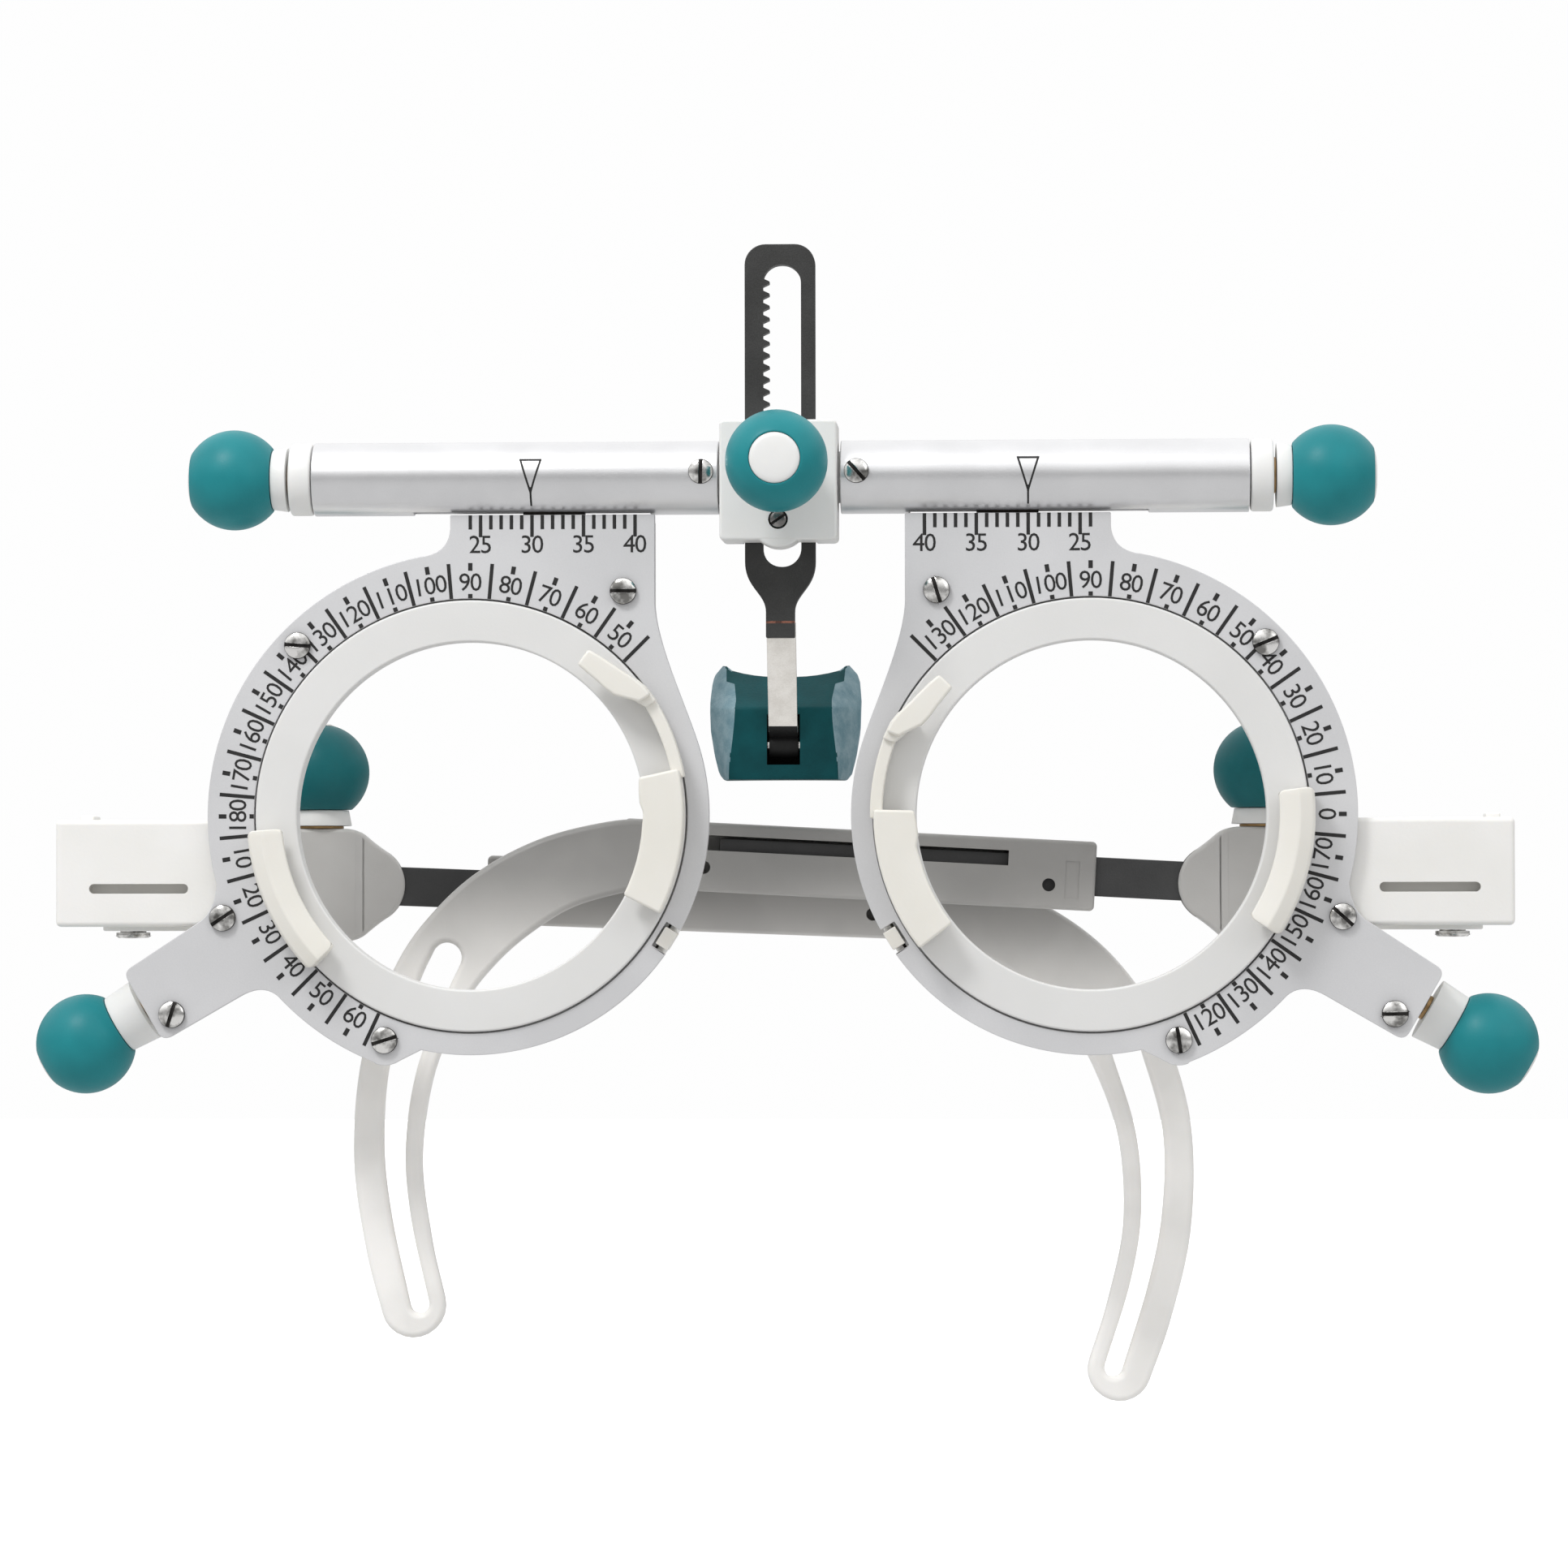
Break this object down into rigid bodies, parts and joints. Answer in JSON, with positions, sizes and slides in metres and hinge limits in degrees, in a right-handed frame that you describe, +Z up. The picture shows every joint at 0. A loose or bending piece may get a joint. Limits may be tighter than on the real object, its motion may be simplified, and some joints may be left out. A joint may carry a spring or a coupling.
{
  "type": "optical trial frame",
  "caption": "Adjustable optical trial frame with turning lens cells on a cross tube, a geared nose rest and folding, tilting, telescopic temples.",
  "frame": {"origin": "the deepest point of the nose pad's saddle, where the frame rests on the nose", "axes": "+X to the right as seen from the front, +Y from the lens cells towards the wearer, +Z up"},
  "size_m": [0.1466, 0.044, 0.114],
  "materials": {
    "scale_plate": "fine matt silver paint with thin bright edges",
    "tube_metal": "satin anodised, even sheen along the tube",
    "white_plastic": "smooth satin white",
    "cream_plastic": "smooth satin warm white",
    "ring_plastic": "smooth satin pale grey",
    "teal_rubber": "matt soft-touch",
    "pad_rubber": "matt, a little dusty on the cheeks",
    "black_steel": "black oxide, satin",
    "bright_steel": "bright, lightly worn",
    "brass": "turned brass",
    "dark_bar": "matt dark grey"
  },
  "bodies": {
    "bridge": {"tube_left": "tube_metal", "tube_right": "tube_metal", "tube_collar_left": "white_plastic", "tube_collar_right": "white_plastic", "bridge_block": "white_plastic", "bridge_back_cover": "white_plastic", "tube_screw_left": "bright_steel", "tube_screw_right": "bright_steel", "bridge_screw": "bright_steel"},
    "nose_carriage": {"rack_bar": "black_steel", "nose_arm": "bright_steel", "nose_pad_pin": "bright_steel"},
    "nose_rest": {"nose_pad": "pad_rubber"},
    "nose_knob": {"rack_knob_pinion": "bright_steel", "rack_knob_core": "white_plastic", "rack_knob_grip": "teal_rubber"},
    "pd_knob_left": {"pd_screw_left": "brass", "pd_knob_core_left": "white_plastic", "pd_knob_grip_left": "teal_rubber"},
    "carrier_left": {"front_plate_left": "scale_plate", "cell_housing_left": "cream_plastic", "carriage_nut_left": "brass", "plate_screw_upper_nasal_left": "bright_steel", "plate_screw_upper_outer_left": "bright_steel", "plate_screw_side_left": "bright_steel", "plate_screw_lower_left": "bright_steel", "plate_screw_arm_left": "bright_steel"},
    "lens_cell_left": {"lens_ring_left": "ring_plastic", "outer_lens_clip_left": "cream_plastic", "nasal_lens_clip_left": "cream_plastic"},
    "axis_knob_left": {"axis_knob_pinion_left": "white_plastic", "axis_knob_grip_left": "teal_rubber"},
    "temple_block_left": {"temple_block_left": "cream_plastic", "fold_pin_left": "bright_steel"},
    "tilt_knob_left": {"tilt_knob_worm_left": "white_plastic", "tilt_knob_grip_left": "teal_rubber"},
    "temple_bar_left": {"temple_bar_left": "dark_bar"},
    "temple_end_left": {"temple_rail_left": "cream_plastic"},
    "pd_knob_right": {"pd_screw_right": "brass", "pd_knob_core_right": "white_plastic", "pd_knob_grip_right": "teal_rubber"},
    "carrier_right": {"front_plate_right": "scale_plate", "cell_housing_right": "cream_plastic", "carriage_nut_right": "brass", "plate_screw_upper_nasal_right": "bright_steel", "plate_screw_upper_outer_right": "bright_steel", "plate_screw_side_right": "bright_steel", "plate_screw_lower_right": "bright_steel", "plate_screw_arm_right": "bright_steel"},
    "lens_cell_right": {"lens_ring_right": "ring_plastic", "outer_lens_clip_right": "cream_plastic", "nasal_lens_clip_right": "cream_plastic"},
    "axis_knob_right": {"axis_knob_pinion_right": "white_plastic", "axis_knob_grip_right": "teal_rubber"},
    "temple_block_right": {"temple_block_right": "cream_plastic", "fold_pin_right": "bright_steel"},
    "tilt_knob_right": {"tilt_knob_worm_right": "white_plastic", "tilt_knob_grip_right": "teal_rubber"},
    "temple_bar_right": {"temple_bar_right": "dark_bar"},
    "temple_end_right": {"temple_rail_right": "cream_plastic"}
  },
  "joints": [
    {"name": "nose_height", "type": "slide", "parent": "bridge", "child": "nose_carriage", "axis": [0, 0, 1], "range_m": [-0.0175, 0.0065]},
    {"name": "nose_pad_tilt", "type": "hinge", "parent": "nose_carriage", "child": "nose_rest", "pos_m": [0, -0.0027, -0.0014], "axis": [-1, 0, 0], "range_deg": [-10, 10]},
    {"name": "nose_knob_turn", "type": "hinge", "parent": "bridge", "child": "nose_knob", "pos_m": [0.0002, -0.0167, 0.02502], "axis": [0, 1, 0], "range_deg": [-669, 249]},
    {"name": "pupil_distance_left", "type": "slide", "parent": "bridge", "child": "carrier_left", "axis": [1, 0, 0], "range_m": [-0.01, 0.006]},
    {"name": "pd_knob_turn_left", "type": "hinge", "parent": "bridge", "child": "pd_knob_left", "pos_m": [-0.05, -0.0101, 0.02435], "axis": [-1, 0, 0], "range_deg": [-1801, 1081]},
    {"name": "lens_axis_left", "type": "hinge", "parent": "carrier_left", "child": "lens_cell_left", "pos_m": [-0.03, -0.0117, -0.0084], "axis": [0, 1, 0], "continuous": true},
    {"name": "axis_knob_turn_left", "type": "hinge", "parent": "carrier_left", "child": "axis_knob_left", "pos_m": [-0.05598, -0.00611, -0.0234], "axis": [-0.866, 0, -0.5], "continuous": true},
    {"name": "temple_fold_left", "type": "hinge", "parent": "carrier_left", "child": "temple_block_left", "pos_m": [-0.066, 0.0073, -0.0139], "axis": [0, 0, 1], "range_deg": [0, 87.5]},
    {"name": "temple_tilt_left", "type": "hinge", "parent": "temple_block_left", "child": "temple_bar_left", "pos_m": [-0.0436, 0.00946, -0.015], "axis": [0.0958, -0.9954, 0], "range_deg": [-7.8, 12.2]},
    {"name": "tilt_knob_turn_left", "type": "hinge", "parent": "temple_block_left", "child": "tilt_knob_left", "pos_m": [-0.04729, 0.0091, -0.0084], "axis": [0, 0, 1], "range_deg": [-118, 184]},
    {"name": "temple_length_left", "type": "slide", "parent": "temple_bar_left", "child": "temple_end_left", "axis": [0.9947, 0.0958, -0.0384], "range_m": [-0.004, 0.018]},
    {"name": "pupil_distance_right", "type": "slide", "parent": "bridge", "child": "carrier_right", "axis": [-1, 0, 0], "range_m": [-0.01, 0.006]},
    {"name": "pd_knob_turn_right", "type": "hinge", "parent": "bridge", "child": "pd_knob_right", "pos_m": [0.05, -0.0101, 0.02435], "axis": [1, 0, 0], "range_deg": [-1801, 1081]},
    {"name": "lens_axis_right", "type": "hinge", "parent": "carrier_right", "child": "lens_cell_right", "pos_m": [0.03, -0.0117, -0.0084], "axis": [0, 1, 0], "continuous": true},
    {"name": "axis_knob_turn_right", "type": "hinge", "parent": "carrier_right", "child": "axis_knob_right", "pos_m": [0.05598, -0.00611, -0.0234], "axis": [0.866, 0, -0.5], "continuous": true},
    {"name": "temple_fold_right", "type": "hinge", "parent": "carrier_right", "child": "temple_block_right", "pos_m": [0.066, 0.0073, -0.0139], "axis": [0, 0, -1], "range_deg": [0, 94]},
    {"name": "temple_tilt_right", "type": "hinge", "parent": "temple_block_right", "child": "temple_bar_right", "pos_m": [0.0435, 0.00691, -0.015], "axis": [-0.0175, 0.9998, 0], "range_deg": [-13, 7]},
    {"name": "tilt_knob_turn_right", "type": "hinge", "parent": "temple_block_right", "child": "tilt_knob_right", "pos_m": [0.0472, 0.00697, -0.0084], "axis": [0, 0, 1], "range_deg": [-196, 106]},
    {"name": "temple_length_right", "type": "slide", "parent": "temple_bar_right", "child": "temple_end_right", "axis": [-0.9985, -0.0174, 0.0523], "range_m": [-0.004, 0.018]}
  ],
  "couplings": [
    {"joint": "nose_knob_turn", "follows": "nose_height", "rad_per_m": 666.67},
    {"joint": "pd_knob_turn_left", "follows": "pupil_distance_left", "rad_per_m": 3141.6},
    {"joint": "axis_knob_turn_left", "follows": "lens_axis_left", "ratio": 9.6},
    {"joint": "tilt_knob_turn_left", "follows": "temple_tilt_left", "ratio": 15},
    {"joint": "pd_knob_turn_right", "follows": "pupil_distance_right", "rad_per_m": 3141.6},
    {"joint": "axis_knob_turn_right", "follows": "lens_axis_right", "ratio": 9.6},
    {"joint": "tilt_knob_turn_right", "follows": "temple_tilt_right", "ratio": 15}
  ]
}
